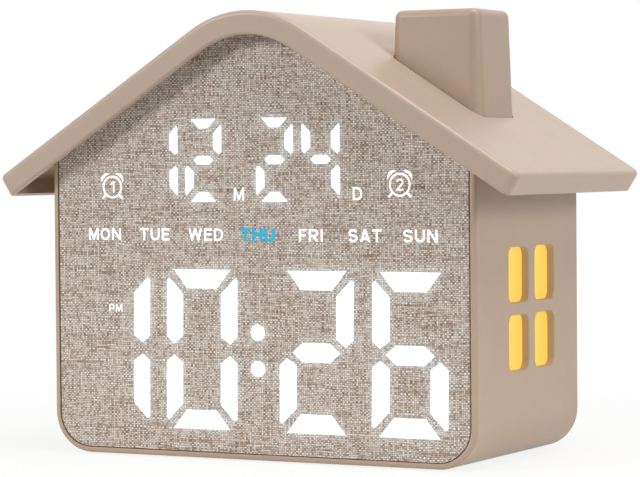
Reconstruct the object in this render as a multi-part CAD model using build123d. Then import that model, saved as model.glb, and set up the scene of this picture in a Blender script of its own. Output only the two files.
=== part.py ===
"""House-shaped alarm clock: moulded house body, roof cap, chimney key, cloth front with a segment display,
lit side windows, rear cover with setting keys, power inlet, speaker and backup cell.

Millimetres. +X right, +Y back, +Z up. The origin is on the table, under the middle of the roof.
"""
import math
import os

from build123d import *

# Roof cap
roof_span = 162.4  # eave tip to eave tip
roof_depth = 86.5
roof_slope = 32.2  # degrees
eave_tip_height = 78.15  # above the underside of the body
roof_edge_height = 6.6  # hanging edge, square to the slope
roof_deck = 1.9
fascia_wall = 1.8
ridge_radius = 32.6
roof_corner_radius = 2.5
roof_top_round = 1.3
roof_low_round = 0.7

# House body
body_width = 132.6
body_depth = 68.7
body_ahead = 37.4  # front rim ahead of the origin
front_overhang = 5.85  # roof edge ahead of the front rim
body_wall = 2.2
body_corner_radius = 11.5
rim_wall = 1.6  # thinner wall round the front panel
rim_round = 1.1
back_round = 0.6
ledge_width = 3.0  # inner frame that the front panel rests on
ledge_thickness = 2.0
least_round = 0.5

# Windows in the side walls
window_width = 13.3
window_height = 15.1
window_gap_across = 4.1
window_gap_up = 3.4
window_low = 24.8  # lowest opening edge above the underside
window_middle = -0.8  # middle of the group along the depth
window_corner = 2.5
window_edge_round = 0.4
pane_margin = 2.6
pane_thickness = 1.5
light_box_depth = 5.0
light_box_wall = 1.2
window_board_thickness = 1.2
window_post_radius = 2.4
window_post_reach = 3.2  # post axis beyond the pane's edge
window_led_size = 2.8
window_led_height = 0.8

# Chimney key
chimney_width = 25.9  # at its top
chimney_depth = 22.3
chimney_draft = 2.0  # degrees on each side
chimney_offset = 42.25  # middle of the chimney from the ridge
chimney_back = -0.05
chimney_rise = 20.92  # above the slope at its middle
chimney_corner = 2.6
chimney_top_round = 2.1
chimney_wall = 1.8
chimney_travel = 1.2
key_seam = 0.25
guide_clearance = 0.6
flange_width = 2.4
flange_thickness = 1.6
key_post_radius = 4.0

# Snooze switch under the chimney
snooze_board_drop = 18.48  # below the slope at the chimney's middle
snooze_board_width = 14.0
snooze_board_thickness = 1.6
snooze_post_radius = 2.8
snooze_post_spread = 18.5
switch_side = 6.2
switch_height = 3.6
plunger_radius = 1.75
plunger_fit = 0.06
plunger_depth = 1.0  # length inside the switch at rest
plunger_end = 0.4  # room below a plunger pressed home
snooze_plunger_reach = 2.6

# Cloth front and display
panel_recess = 0.1
panel_gap = 0.4
fabric_thickness = 0.5
panel_thickness = 1.7
film_thickness = 0.3
reflector_depth = 6.7
reflector_width = 117.0
reflector_drop = 32.5  # below the line where the slopes meet
display_fit = 0.4
board_thickness = 1.6
display_post_radius = 2.6
display_post_inset = 2.4  # post axis inside the body's inner wall
display_post_low = 16.0
display_post_drop = 9.15  # below the top of the side wall
display_led_length = 1.6
display_led_width = 0.8
display_led_height = 0.7
driver_chip_length = 9.9
driver_chip_width = 3.9
driver_chip_height = 1.5
driver_chip_spread = 24.0
driver_chip_level = 60.0

# Segment digits and legend windows
big_height = 44.1
big_width = 23.0
big_stroke = 5.4
big_low = 7.8
big_pitch = 28.3
big_pair_centre = 32.1
small_height = 22.95
small_width = 12.0
small_stroke = 2.7
small_drop = 2.68  # below the top of the reflector
small_pitch = 14.0
small_pair_centres = (-23.97, 12.7)
colon_radius = 2.25
colon_spread = 5.0
day_pitch = 16.5
day_count = 7
day_window_width = 12.0
day_window_height = 4.6
day_rise = 0.52  # above the middle of the gap between the digit rows
icon_radius = 4.2
icon_places = ((-46.5, 4.25), (43.95, 4.65))  # heights above the small digits' foot
letter_window = 4.2
letter_places = ((-5.5, 2.15), (31.2, 2.15))  # heights above the small digits' foot
half_day_place = (-45.8, 41.2)

# Shares of the stroke that shape the mitred segments
blunt_share = 0.4
mitre_share = 1.21
shoulder_share = 0.48
nose_in_share = 0.16
nose_down_share = 0.37
inner_share = 1.13
waist_share = 0.68
tip_share = 0.23
middle_tip_share = 0.88
middle_shoulder_share = 1.37

# Rear cover
cover_recess = 0.8
cover_thickness = 2.2
cover_fit = 0.2
boss_radius = 3.6
boss_inset = 3.4
boss_low = 14.0
boss_drop = 7.15  # below the top of the side wall
boss_length = 20.0
counterbore_depth = 1.2
counterbore_fit = 0.3

# Main board behind the rear cover
main_board_width = 100.0
main_board_low = 12.0
main_board_high = 62.0
main_board_gap = 8.2  # rear cover to board
main_post_radius = 2.6
main_post_inset = 4.0
clock_chip_side = 12.0
clock_chip_height = 1.4
clock_chip_place = (-22.0, 44.0)
crystal_length = 8.0
crystal_radius = 1.5
crystal_place = (-22.0, 56.0)
capacitor_radius = 3.15
capacitor_height = 7.0
capacitor_places = ((20.0, 20.0), (28.5, 20.0))

# Rear keys
key_names = ("set_key", "alarm_key", "up_key", "down_key", "light_key")
key_pitch = 16.0
key_level = 52.0
key_width = 11.0
key_height = 6.0
key_proud = 1.2
key_clearance = 0.25
key_flange = 1.0
key_flange_thickness = 1.0
key_round = 0.5
key_travel = 0.6

# Power inlet
inlet_place = (3.0, 19.0)
inlet_width = 8.94
inlet_height = 3.26
inlet_wall = 0.3
inlet_recess = 0.8
inlet_clearance = 0.3
inlet_depth = 6.2
tongue_width = 6.7
tongue_thickness = 0.7
tongue_recess = 0.6
bezel_width = 13.0
bezel_height = 7.0
bezel_depth = 0.7

# Speaker
speaker_place = (28.0, 28.0)
speaker_radius = 12.0
speaker_rim = 1.4
speaker_height = 5.0
magnet_radius = 7.0
magnet_height = 2.2
speaker_fit = 0.15
speaker_ring_wall = 1.2
speaker_ring_height = 2.0
grille_hole_radius = 0.9
grille_pitch = 3.4
grille_rings = 2

# Backup cell and its twist cap
cap_place = (-26.0, 30.0)
cap_radius = 13.5
cap_fit = 0.25
cap_thickness = 1.8
lug_reach = 2.0
lug_thickness = 1.2
lug_angle = 30.0
lug_gap = 0.15
notch_angle = 36.0
cap_turn = 60.0
coin_slot_length = 16.0
coin_slot_width = 2.2
coin_slot_depth = 0.9
cap_boss_radius = 6.0
cell_radius = 10.0
cell_thickness = 3.2
cell_fit = 0.15
cell_gap = 0.3
holder_wall = 1.2
holder_lip = 2.2

# Screws
screw_radius = 1.1
screw_fit = 0.05
screw_head_radius = 2.3
screw_head_height = 1.1
screw_length = 6.0
short_screw_length = 4.4
clearance_hole_radius = 1.35
cross_length = 2.6
cross_width = 0.6
cross_depth = 0.7

# Roof fixing
roof_boss_radius = 3.0
roof_boss_fit = 0.2
roof_boss_short = 0.1
roof_screw_across = 30.0
roof_screw_along = 22.0
roof_pilot_skin = 0.8
roof_pilot_end = 0.2  # room past the screw's tip
washer_radius = 4.4
washer_thickness = 0.5

# Feet
foot_height = 0.4
foot_recess = 0.6
foot_radius = 5.0
foot_fit = 0.1
foot_round = 0.2
foot_across = 48.0
foot_front = -18.0
foot_back = 18.0

# Leads and ribbon
lead_radius = 0.8
lead_bend = 5.0
lead_bend_share = 0.9  # the most of a short run that a bend takes
ribbon_width = 20.0
ribbon_thickness = 0.3
ribbon_bend = 8.0
ribbon_socket_width = 22.0
ribbon_socket_height = 4.0
ribbon_socket_depth = 3.0
ribbon_high = 40.0
ribbon_low = 30.0
ribbon_run = 12.0
lead_level = 32.0
lead_across = 44.0

# Cuts run this far past the faces that they open
overrun = 5.0

# Worked-out places
slope = math.radians(roof_slope)
eave_level = foot_height + eave_tip_height
ridge_level = eave_level + roof_span / 2 * math.tan(slope)
chimney_slope_level = ridge_level - chimney_offset * math.tan(slope)
chimney_top = chimney_slope_level + chimney_rise
snooze_board_level = chimney_slope_level - snooze_board_drop
reflector_top = ridge_level - foot_height - reflector_drop
small_low = reflector_top - small_drop - small_height
day_level = (big_low + big_height + small_low) / 2 + day_rise
body_half = body_width / 2
wall_level = ridge_level - body_half * math.tan(slope) - roof_deck / math.cos(slope)
body_front = -body_ahead
roof_front = body_front - front_overhang
roof_back = roof_front + roof_depth
body_back = body_front + body_depth
inner_half = body_half - body_wall
fabric_front = body_front + panel_recess
panel_front = fabric_front + fabric_thickness
film_front = panel_front + panel_thickness
ledge_back = film_front + ledge_thickness
reflector_front = film_front + film_thickness
board_front = reflector_front + reflector_depth
board_back = board_front + board_thickness
cover_back = body_back - cover_recess
cover_front = cover_back - cover_thickness
main_back = cover_front - main_board_gap
main_front = main_back - board_thickness
under_roof = roof_deck + body_wall
plunger_bore = plunger_depth + max(chimney_travel, key_travel) + plunger_end
roof_screw_length = under_roof - roof_pilot_skin - roof_pilot_end
pane_width = 2 * window_width + window_gap_across + 2 * pane_margin
pane_height = 2 * window_height + window_gap_up + 2 * pane_margin
window_centre = foot_height + window_low + window_height + window_gap_up / 2
window_board_half = pane_width / 2 + window_post_reach + window_post_radius
light_box_face = inner_half - pane_thickness
window_board_face = light_box_face - light_box_depth
big_centres = [side * big_pair_centre + step * big_pitch / 2 for side in (-1, 1) for step in (-1, 1)]
small_centres = [centre + step * small_pitch / 2 for centre in small_pair_centres for step in (-1, 1)]
day_centres = [(count - (day_count - 1) / 2) * day_pitch for count in range(day_count)]
key_places = [(count - (len(key_names) - 1) / 2) * key_pitch for count in range(len(key_names))]
main_posts = [
    (side * (main_board_width / 2 - main_post_inset), level)
    for side in (-1, 1)
    for level in (main_board_low + main_post_inset, main_board_high - main_post_inset)
]
rear_bosses = [
    (side * (inner_half - boss_inset), level)
    for side in (-1, 1)
    for level in (boss_low, wall_level - boss_drop)
]
display_posts = [
    (side * (inner_half - display_post_inset), level)
    for side in (-1, 1)
    for level in (display_post_low, wall_level - display_post_drop)
]
roof_screw_places = [
    (across * roof_screw_across, along * roof_screw_along) for across in (-1, 1) for along in (-1, 1)
]
foot_places = [(side * foot_across, along) for side in (-1, 1) for along in (foot_front, foot_back)]


# Shared shapes
def polygon(points):
    return make_face(Polyline(*points, close=True))


def along_depth(face, front, back):
    """Solid with an X-Z outline between two depths."""
    return extrude(Plane.XZ.offset(-back) * face, amount=back - front)


def along_width(face, low, high):
    """Solid with a Y-Z outline between two places along X."""
    return extrude(Plane.YZ.offset(low) * face, amount=high - low)


def rod(place, radius, front, back):
    """Cylinder along the depth at an (x, z) place."""
    return along_depth(Pos(*place) * Circle(radius), front, back)


def roof_level(x, below):
    """Height of the plane that lies a square depth below the roof's outer slopes."""
    return ridge_level - abs(x) * math.tan(slope) - below / math.cos(slope)


def slope_plane(x, y, below):
    """Plane on a slope at (x, y), facing out of the roof, sunk by a square depth."""
    side = math.copysign(1, x)
    normal = (side * math.sin(slope), 0, math.cos(slope))
    return Plane((x, y, roof_level(x, 0)), x_dir=(0, 1, 0), z_dir=normal).offset(-below)


def roof_band(top, low, end_inset):
    """Gable strip between two square depths under the roof surface, its ends square to the slope."""

    def on_slope(side, below):
        across = roof_span / 2 - end_inset * math.cos(slope) - below * math.sin(slope)
        return side * across, roof_level(across, below)

    apex_top = (0, roof_level(0, top))
    apex_low = (0, roof_level(0, low))
    band = polygon(
        [on_slope(1, low), on_slope(1, top), apex_top, on_slope(-1, top), on_slope(-1, low), apex_low]
    )
    middle = band.vertices().filter_by(lambda v: abs(v.X) < least_round).sort_by(Axis.Y)
    band = fillet(middle[-1], ridge_radius - top)
    middle = band.vertices().filter_by(lambda v: abs(v.X) < least_round).sort_by(Axis.Y)
    return fillet(middle[0], ridge_radius - low)


def house_outline(inset):
    """Front outline of the body, drawn in by an inset; its slopes follow the roof deck."""
    half = body_half - inset
    floor = foot_height + inset
    wall_top = roof_level(half, roof_deck + inset)
    apex = roof_level(0, roof_deck + inset)
    face = polygon([(-half, floor), (half, floor), (half, wall_top), (0, apex), (-half, wall_top)])
    face = fillet(face.vertices().group_by(Axis.Y)[0], max(body_corner_radius - inset, least_round))
    return fillet(face.vertices().group_by(Axis.Y)[-1], ridge_radius - inset)


def below_level(face, level, width):
    """The part of a front outline that lies under a level and inside a width."""
    tall = level + overrun
    return face & Pos(0, level - tall / 2) * Rectangle(width, tall)


def chimney_prism(grow, low, high):
    """The chimney's drafted form, grown all round, between two heights."""
    spread = (chimney_top - low) * math.tan(math.radians(chimney_draft))
    width, depth = (side + 2 * (grow + spread) for side in (chimney_width, chimney_depth))
    face = RectangleRounded(width, depth, max(chimney_corner + grow, least_round) + spread)
    foot = Plane.XY.offset(low) * Pos(chimney_offset, chimney_back)
    return extrude(foot * face, amount=high - low, taper=chimney_draft)


def screw(length, washer=False):
    """Cross-head screw: head above its own zero plane, shank below."""
    shank = Pos(0, 0, -length / 2) * Cylinder(screw_radius, length)
    shank = chamfer(shank.edges().group_by(Axis.Z)[0], screw_radius / 2)
    head_low = washer_thickness if washer else 0
    head = Pos(0, 0, head_low + screw_head_height / 2) * Cylinder(screw_head_radius, screw_head_height)
    head = fillet(head.edges().group_by(Axis.Z)[-1], screw_head_height / 2)
    top = head_low + screw_head_height
    for turn in (0, 90):
        head -= Pos(0, 0, top) * Rot(0, 0, turn) * Box(cross_length, cross_width, 2 * cross_depth)
    if washer:
        head += Pos(0, 0, washer_thickness / 2) * Cylinder(washer_radius, washer_thickness)
    return shank + head


def depth_plane(place, y, facing):
    """Plane at an (x, z) place, facing to the back (1) or to the front (-1)."""
    return Plane((place[0], y, place[1]), x_dir=(1, 0, 0), z_dir=(0, facing, 0))


def save(node, shape):
    export_step(shape, f"parts/{node}.step")


def group(solids):
    return Compound(children=[solid for part in solids for solid in part.solids()])


# Roof cap
def roof_shell():
    shell = along_depth(roof_band(0, roof_edge_height, 0), roof_front, roof_back)
    reach = roof_span / 2 - roof_edge_height
    corners = shell.edges().filter_by(lambda e: abs(e.center().X) > reach).filter_by(Axis.Y, reverse=True)
    corners = corners.filter_by(lambda e: e.length < roof_edge_height + least_round)
    shell = fillet(corners, roof_corner_radius)
    upright = (math.sin(slope) + math.cos(slope)) / 2
    near_front, near_back = roof_front + roof_corner_radius, roof_back - roof_corner_radius
    for facing, size in ((1, roof_top_round), (-1, roof_low_round)):
        faces = shell.faces().filter_by(lambda f: facing * f.normal_at().Z > upright)
        seams = ShapeList(e for f in faces for e in f.edges())
        rim = seams.filter_by(
            lambda e: abs(e.center().X) > reach / 2 or not near_front < e.center().Y < near_back
        )
        shell = fillet(rim, size)
    low = roof_edge_height + overrun
    hollow = roof_band(roof_deck, low, fascia_wall)
    shell -= along_depth(hollow, roof_front + fascia_wall, roof_back - fascia_wall)
    shell -= chimney_prism(key_seam, eave_level, ridge_level + overrun)
    # Bosses that reach through the body's top wall, with blind pilot holes
    boss_end = under_roof - roof_boss_short
    for x, y in roof_screw_places:
        plane = slope_plane(x, y, boss_end)
        shell += extrude(plane * Circle(roof_boss_radius), amount=boss_end - roof_deck)
        shell -= extrude(plane * Circle(screw_radius + screw_fit), amount=boss_end - roof_pilot_skin)
    return shell


# House body
def window_places():
    across = (window_width + window_gap_across) / 2
    up = (window_height + window_gap_up) / 2
    return [(window_middle + i * across, window_centre + k * up) for i in (-1, 1) for k in (-1, 1)]


def window_posts():
    reach = pane_width / 2 + window_post_reach
    return [(window_middle + side * reach, window_centre) for side in (-1, 1)]


def house_body():
    outer = along_depth(house_outline(0), body_front, body_back)
    outer = fillet(outer.faces().sort_by(Axis.Y)[0].edges(), rim_round)
    outer = fillet(outer.faces().sort_by(Axis.Y)[-1].edges(), back_round)
    inside = house_outline(body_wall)
    body = outer - along_depth(inside, body_front - overrun, body_back + overrun)
    # Pocket for the front panel, and the inner frame behind it
    body -= along_depth(house_outline(rim_wall), body_front - overrun, film_front)
    frame = inside - house_outline(body_wall + ledge_width)
    body += along_depth(frame, film_front, ledge_back)
    # Window openings in both side walls
    for place in window_places():
        opening = Pos(*place) * RectangleRounded(window_width, window_height, window_corner)
        body -= along_width(opening, -body_half - overrun, body_half + overrun)
    sills = body.edges().filter_by(
        lambda e: abs(abs(e.center().X) - body_half) < screw_fit
        and abs(e.center().Y - window_middle) < pane_width / 2
        and abs(e.center().Z - window_centre) < pane_height / 2
    )
    body = fillet(sills, window_edge_round)
    # Posts: window boards, display board, rear cover
    pilot = screw_radius + screw_fit
    for side in (-1, 1):
        for place in window_posts():
            post = Pos(*place) * Circle(window_post_radius)
            bore = Pos(*place) * Circle(pilot)
            ends = sorted((side * window_board_face, side * (inner_half + body_wall / 2)))
            deep = sorted((side * (window_board_face - overrun), side * inner_half))
            body += along_width(post, *ends)
            body -= along_width(bore, *deep)
    for place in display_posts:
        body += rod(place, display_post_radius, film_front, board_front)
        body -= rod(place, pilot, film_front + least_round, board_front + overrun)
    for place in rear_bosses:
        body += rod(place, boss_radius, cover_front - boss_length, cover_front)
        body -= rod(place, pilot, cover_front - boss_length / 2, cover_front + overrun)
    # Hanging posts for the snooze board, and the chimney's way through the top wall
    within = along_depth(house_outline(body_wall / 2), body_front, body_back)
    for side in (-1, 1):
        along = chimney_back + side * snooze_post_spread
        foot = Plane.XY.offset(snooze_board_level) * Pos(chimney_offset, along)
        body += extrude(foot * Circle(snooze_post_radius), amount=ridge_level - snooze_board_level) & within
        body -= extrude(foot * Circle(pilot), amount=snooze_plunger_reach + switch_height)
    body -= chimney_prism(guide_clearance, eave_level, ridge_level + overrun)
    for x, y in roof_screw_places:
        plane = slope_plane(x, y, under_roof + overrun)
        hole = plane * Circle(roof_boss_radius + roof_boss_fit)
        body -= extrude(hole, amount=overrun + body_wall + overrun)
    for place in foot_places:
        pocket = Pos(*place, foot_height + foot_recess / 2) * Cylinder(foot_radius + foot_fit, foot_recess)
        body -= pocket
    return body


def rubber_feet():
    pads = []
    thickness = foot_height + foot_recess
    for place in foot_places:
        pad = Pos(*place, thickness / 2) * Cylinder(foot_radius, thickness)
        pads.append(fillet(pad.edges().group_by(Axis.Z)[0], foot_round))
    return group(pads)


# Chimney key and the snooze switch under it
snooze_switch_top = snooze_board_level + switch_height
snooze_plunger_top = snooze_switch_top + snooze_plunger_reach


def chimney_key():
    key = chimney_prism(0, eave_level, chimney_top)
    key = fillet(key.faces().sort_by(Axis.Z)[-1].edges(), chimney_top_round)
    cavity = chimney_prism(-chimney_wall, eave_level - overrun, chimney_top - chimney_wall)
    flange_low = under_roof + flange_thickness
    key &= along_depth(roof_band(-ridge_radius, flange_low, 0), roof_front, roof_back)
    flange = chimney_prism(flange_width, eave_level - overrun, ridge_level)
    key += flange & along_depth(roof_band(under_roof, flange_low, 0), roof_front, roof_back)
    key -= cavity
    post_foot = Plane.XY.offset(snooze_plunger_top) * Pos(chimney_offset, chimney_back)
    post_length = chimney_top - chimney_wall / 2 - snooze_plunger_top
    return key + extrude(post_foot * Circle(key_post_radius), amount=post_length)


def snooze_board():
    length = 2 * (snooze_post_spread + snooze_post_radius)
    low = snooze_board_level - snooze_board_thickness
    middle = Plane.XY.offset(low) * Pos(chimney_offset, chimney_back)
    face = Rectangle(snooze_board_width, length)
    for side in (-1, 1):
        face -= Pos(0, side * snooze_post_spread) * Circle(clearance_hole_radius)
    return extrude(middle * face, amount=snooze_board_thickness)


def snooze_screws():
    low = snooze_board_level - snooze_board_thickness
    places = [(chimney_offset, chimney_back + side * snooze_post_spread, low) for side in (-1, 1)]
    return group([Plane(place, z_dir=(0, 0, -1)) * screw(short_screw_length) for place in places])


def switch_body():
    """Tactile switch on its own zero plane, with the bore that its plunger works in."""
    case = Pos(0, 0, switch_height / 2) * Box(switch_side, switch_side, switch_height)
    case = chamfer(case.edges().filter_by(Axis.Z), switch_side / 12)
    bore = Cylinder(plunger_radius + plunger_fit, plunger_bore)
    return case - Pos(0, 0, switch_height - plunger_bore / 2) * bore


def switch_plunger(reach):
    """Plunger of a switch on the same zero plane, standing out of the case by its reach."""
    low = switch_height - plunger_depth
    length = plunger_depth + reach
    stem = Pos(0, 0, low + length / 2) * Cylinder(plunger_radius, length)
    return chamfer(stem.edges().group_by(Axis.Z)[-1], plunger_radius / 6)


snooze_seat = Plane((chimney_offset, chimney_back, snooze_board_level))


# Cloth front and display
def fabric_face():
    return along_depth(house_outline(rim_wall + panel_gap), fabric_front, panel_front)


def front_panel():
    return along_depth(house_outline(rim_wall + panel_gap), panel_front, film_front)


def reflector_outline():
    inset = body_wall + ledge_width + display_fit
    return below_level(house_outline(inset), foot_height + reflector_top, reflector_width)


def diffuser_film():
    return along_depth(reflector_outline(), film_front, reflector_front)


def digit_windows(centre, low, width, height, stroke):
    """Seven mitred segment windows of one digit, with the middle of each."""
    half, mid = width / 2, height / 2
    level = foot_height + low + mid
    upright = [
        (-half, mid - stroke * shoulder_share),
        (-half + stroke * nose_in_share, mid - stroke * nose_down_share),
        (-half + stroke, mid - stroke * inner_share),
        (-half + stroke, stroke * waist_share),
        (-half + stroke / 2, stroke * tip_share),
        (-half, stroke * waist_share),
    ]
    cap = [
        (-half + stroke * blunt_share, mid),
        (half - stroke * blunt_share, mid),
        (half - stroke * mitre_share, mid - stroke),
        (-half + stroke * mitre_share, mid - stroke),
    ]
    tip, shoulder = half - stroke * middle_tip_share, half - stroke * middle_shoulder_share
    waist = [(-tip, 0), (-shoulder, stroke / 2), (shoulder, stroke / 2)]
    waist += [(-x, -z) for x, z in waist]
    outlines = [waist]
    outlines += [[(i * x, k * z) for x, z in upright] for i in (-1, 1) for k in (-1, 1)]
    outlines += [[(x, k * z) for x, z in cap] for k in (-1, 1)]
    middles = [(0, 0)]
    middles += [(i * (stroke - width) / 2, k * mid / 2) for i in (1, -1) for k in (1, -1)]
    middles += [(0, k * (mid - stroke / 2)) for k in (1, -1)]
    place = Pos(centre, level)
    return [place * polygon(points) for points in outlines], [(centre + x, level + z) for x, z in middles]


def display_windows():
    """Every light window of the display, with the place of the light behind it."""
    faces, lights = [], []
    rows = [(big_centres, big_low, big_width, big_height, big_stroke)]
    rows += [(small_centres, small_low, small_width, small_height, small_stroke)]
    for centres, *size in rows:
        for centre in centres:
            outlines, middles = digit_windows(centre, *size)
            faces += outlines
            lights += middles
    colon = foot_height + big_low + big_height / 2
    dots = [(0, colon + side * colon_spread) for side in (-1, 1)]
    days = [(centre, foot_height + day_level) for centre in day_centres]
    icons = [(x, foot_height + small_low + rise) for x, rise in icon_places]
    letters = [(x, foot_height + small_low + rise) for x, rise in letter_places]
    letters.append((half_day_place[0], foot_height + half_day_place[1]))
    faces += [Pos(*place) * Circle(colon_radius) for place in dots]
    faces += [Pos(*place) * Rectangle(day_window_width, day_window_height) for place in days]
    faces += [Pos(*place) * Circle(icon_radius) for place in icons]
    faces += [Pos(*place) * Rectangle(letter_window, letter_window) for place in letters]
    return faces, lights + dots + days + icons + letters


def segment_reflector():
    faces, _ = display_windows()
    return along_depth(reflector_outline() - faces, reflector_front, board_front)


def display_board():
    inset = body_wall + display_fit
    face = below_level(house_outline(inset), foot_height + reflector_top, body_width)
    face -= [Pos(*place) * Circle(clearance_hole_radius) for place in display_posts]
    return along_depth(face, board_front, board_back)


def display_leds():
    _, lights = display_windows()
    lamp = Rectangle(display_led_length, display_led_width)
    front = board_front - display_led_height
    return group([along_depth(Pos(*place) * lamp, front, board_front) for place in lights])


def display_chips():
    chip = Rectangle(driver_chip_length, driver_chip_width)
    places = [(side * driver_chip_spread, driver_chip_level) for side in (-1, 1)]
    back = board_back + driver_chip_height
    return group([along_depth(Pos(*place) * chip, board_back, back) for place in places])


def display_screws():
    planes = [depth_plane(place, board_back, 1) for place in display_posts]
    return group([plane * screw(screw_length) for plane in planes])


# Side windows
def window_pane(side):
    face = Pos(window_middle, window_centre) * RectangleRounded(pane_width, pane_height, window_corner)
    return along_width(face, *sorted((side * light_box_face, side * inner_half)))


def window_light_box(side):
    outside = RectangleRounded(pane_width, pane_height, window_corner)
    inside = Rectangle(pane_width - 2 * light_box_wall, pane_height - 2 * light_box_wall)
    face = Pos(window_middle, window_centre) * (outside - inside)
    return along_width(face, *sorted((side * window_board_face, side * light_box_face)))


def window_board(side):
    face = Pos(window_middle, window_centre) * Rectangle(2 * window_board_half, pane_height)
    face -= [Pos(*place) * Circle(clearance_hole_radius) for place in window_posts()]
    back = window_board_face - window_board_thickness
    return along_width(face, *sorted((side * back, side * window_board_face)))


def window_leds():
    lamps = []
    for side in (-1, 1):
        ends = sorted((side * window_board_face, side * (window_board_face + window_led_height)))
        for place in window_places():
            lamps.append(along_width(Pos(*place) * Rectangle(window_led_size, window_led_size), *ends))
    return group(lamps)


def window_screws():
    back = window_board_face - window_board_thickness
    planes = [
        Plane((side * back, y, z), x_dir=(0, 1, 0), z_dir=(-side, 0, 0))
        for side in (-1, 1)
        for y, z in window_posts()
    ]
    return group([plane * screw(short_screw_length) for plane in planes])


# Rear cover
def key_outline(grow):
    tall = key_height + 2 * grow
    return SlotOverall(key_width + 2 * grow, tall)


def cap_sector(radius, angle, turn):
    """Two opposite sectors about the cap's own middle."""
    reach = radius * math.tan(math.radians(angle / 2))
    wedge = polygon([(0, 0), (radius, -reach), (radius, reach)]) & Circle(radius)
    return [Rot(0, 0, turn + half) * wedge for half in (0, 180)]


def grille_places():
    places = [speaker_place]
    for ring in range(1, grille_rings + 1):
        count = 6 * ring
        for step in range(count):
            turn = 2 * math.pi * step / count
            across, up = ring * grille_pitch * math.cos(turn), ring * grille_pitch * math.sin(turn)
            places.append((speaker_place[0] + across, speaker_place[1] + up))
    return places


def rear_cover():
    face = house_outline(body_wall + cover_fit)
    face -= [Pos(x, key_level) * key_outline(key_clearance) for x in key_places]
    face -= [Pos(*place) * Circle(grille_hole_radius) for place in grille_places()]
    face -= [Pos(*place) * Circle(clearance_hole_radius) for place in rear_bosses]
    face -= Pos(*cap_place) * Circle(cap_radius + cap_fit)
    notches = cap_sector(cap_radius + lug_reach + cap_fit, notch_angle, -cap_turn)
    face -= [Pos(*cap_place) * wedge for wedge in notches]
    grow = 2 * inlet_clearance
    face -= Pos(*inlet_place) * SlotOverall(inlet_width + grow, inlet_height + grow)
    cover = along_depth(face, cover_front, cover_back)
    cover = fillet(cover.faces().sort_by(Axis.Y)[-1].outer_wire().edges(), back_round)
    bezel = Pos(*inlet_place) * SlotOverall(bezel_width, bezel_height)
    cover -= along_depth(bezel, cover_back - bezel_depth, cover_back + overrun)
    for place in rear_bosses:
        head = screw_head_radius + counterbore_fit
        cover -= rod(place, head, cover_back - counterbore_depth, cover_back + overrun)
    # Board posts and the ring that holds the speaker
    for place in main_posts:
        cover += rod(place, main_post_radius, main_back, cover_front)
        cover -= rod(place, screw_radius + screw_fit, main_back - overrun, cover_front)
    inner = speaker_radius + speaker_fit
    ring = Circle(inner + speaker_ring_wall) - Circle(inner)
    return cover + along_depth(Pos(*speaker_place) * ring, cover_front - speaker_ring_height, cover_front)


def rear_screws():
    seat = cover_back - counterbore_depth
    return group([depth_plane(place, seat, 1) * screw(screw_length) for place in rear_bosses])


# Setting keys and their switches
def setting_key(x):
    flange_back = cover_front
    flange_front = flange_back - key_flange_thickness
    cap = along_depth(Pos(x, key_level) * key_outline(0), flange_front, cover_back + key_proud)
    cap = fillet(cap.faces().sort_by(Axis.Y)[-1].edges(), key_round)
    return cap + along_depth(Pos(x, key_level) * key_outline(key_flange), flange_front, flange_back)


def key_plunger(x):
    reach = main_board_gap - key_flange_thickness - switch_height
    return depth_plane((x, key_level), main_back, 1) * switch_plunger(reach)


def key_switches():
    return group([depth_plane((x, key_level), main_back, 1) * switch_body() for x in key_places])


# Main board and what sits on it
def main_board():
    middle = (main_board_low + main_board_high) / 2
    face = Pos(0, middle) * Rectangle(main_board_width, main_board_high - main_board_low)
    face -= [Pos(*place) * Circle(clearance_hole_radius) for place in main_posts]
    return along_depth(face, main_front, main_back)


def main_board_screws():
    return group([depth_plane(place, main_front, -1) * screw(screw_length) for place in main_posts])


def clock_chip():
    face = Pos(*clock_chip_place) * Rectangle(clock_chip_side, clock_chip_side)
    return along_depth(face, main_front - clock_chip_height, main_front)


def quartz_crystal():
    can = SlotOverall(crystal_length, 2 * crystal_radius)
    return along_depth(Pos(*crystal_place) * can, main_front - 2 * crystal_radius, main_front)


def supply_capacitors():
    front = main_front - capacitor_height
    cans = [rod(place, capacitor_radius, front, main_front) for place in capacitor_places]
    return group([fillet(can.edges().sort_by(Axis.Y)[0], least_round) for can in cans])


def usb_inlet():
    back = cover_back - inlet_recess
    place = Pos(*inlet_place)
    shell = along_depth(place * SlotOverall(inlet_width, inlet_height), main_back, back)
    mouth = SlotOverall(inlet_width - 2 * inlet_wall, inlet_height - 2 * inlet_wall)
    shell -= along_depth(place * mouth, back - inlet_depth, back + overrun)
    tongue = place * Rectangle(tongue_width, tongue_thickness)
    return shell + along_depth(tongue, back - inlet_depth, back - tongue_recess)


def speaker():
    rim = cover_front - speaker_rim
    magnet = cover_front - speaker_height
    body = rod(speaker_place, speaker_radius, rim, cover_front)
    cone = [depth_plane(speaker_place, rim, -1) * Circle(speaker_radius - speaker_rim)]
    cone.append(depth_plane(speaker_place, magnet + magnet_height, -1) * Circle(magnet_radius))
    return body + loft(cone) + rod(speaker_place, magnet_radius, magnet, magnet + magnet_height)


# Backup cell, its holder and the twist cap
cap_front = cover_back - cap_thickness
lug_back = cover_front - lug_gap
lug_front = lug_back - lug_thickness
cell_back = lug_front - cell_gap
cell_front = cell_back - cell_thickness


def backup_cell():
    cell = rod(cap_place, cell_radius, cell_front, cell_back)
    return fillet(cell.edges(), cell_fit)


def cell_holder():
    inside = cell_radius + cell_fit
    cup = rod(cap_place, inside + holder_wall, main_back, cell_back - cell_thickness + holder_lip)
    return cup - rod(cap_place, inside, cell_front, cell_back + overrun)


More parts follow.
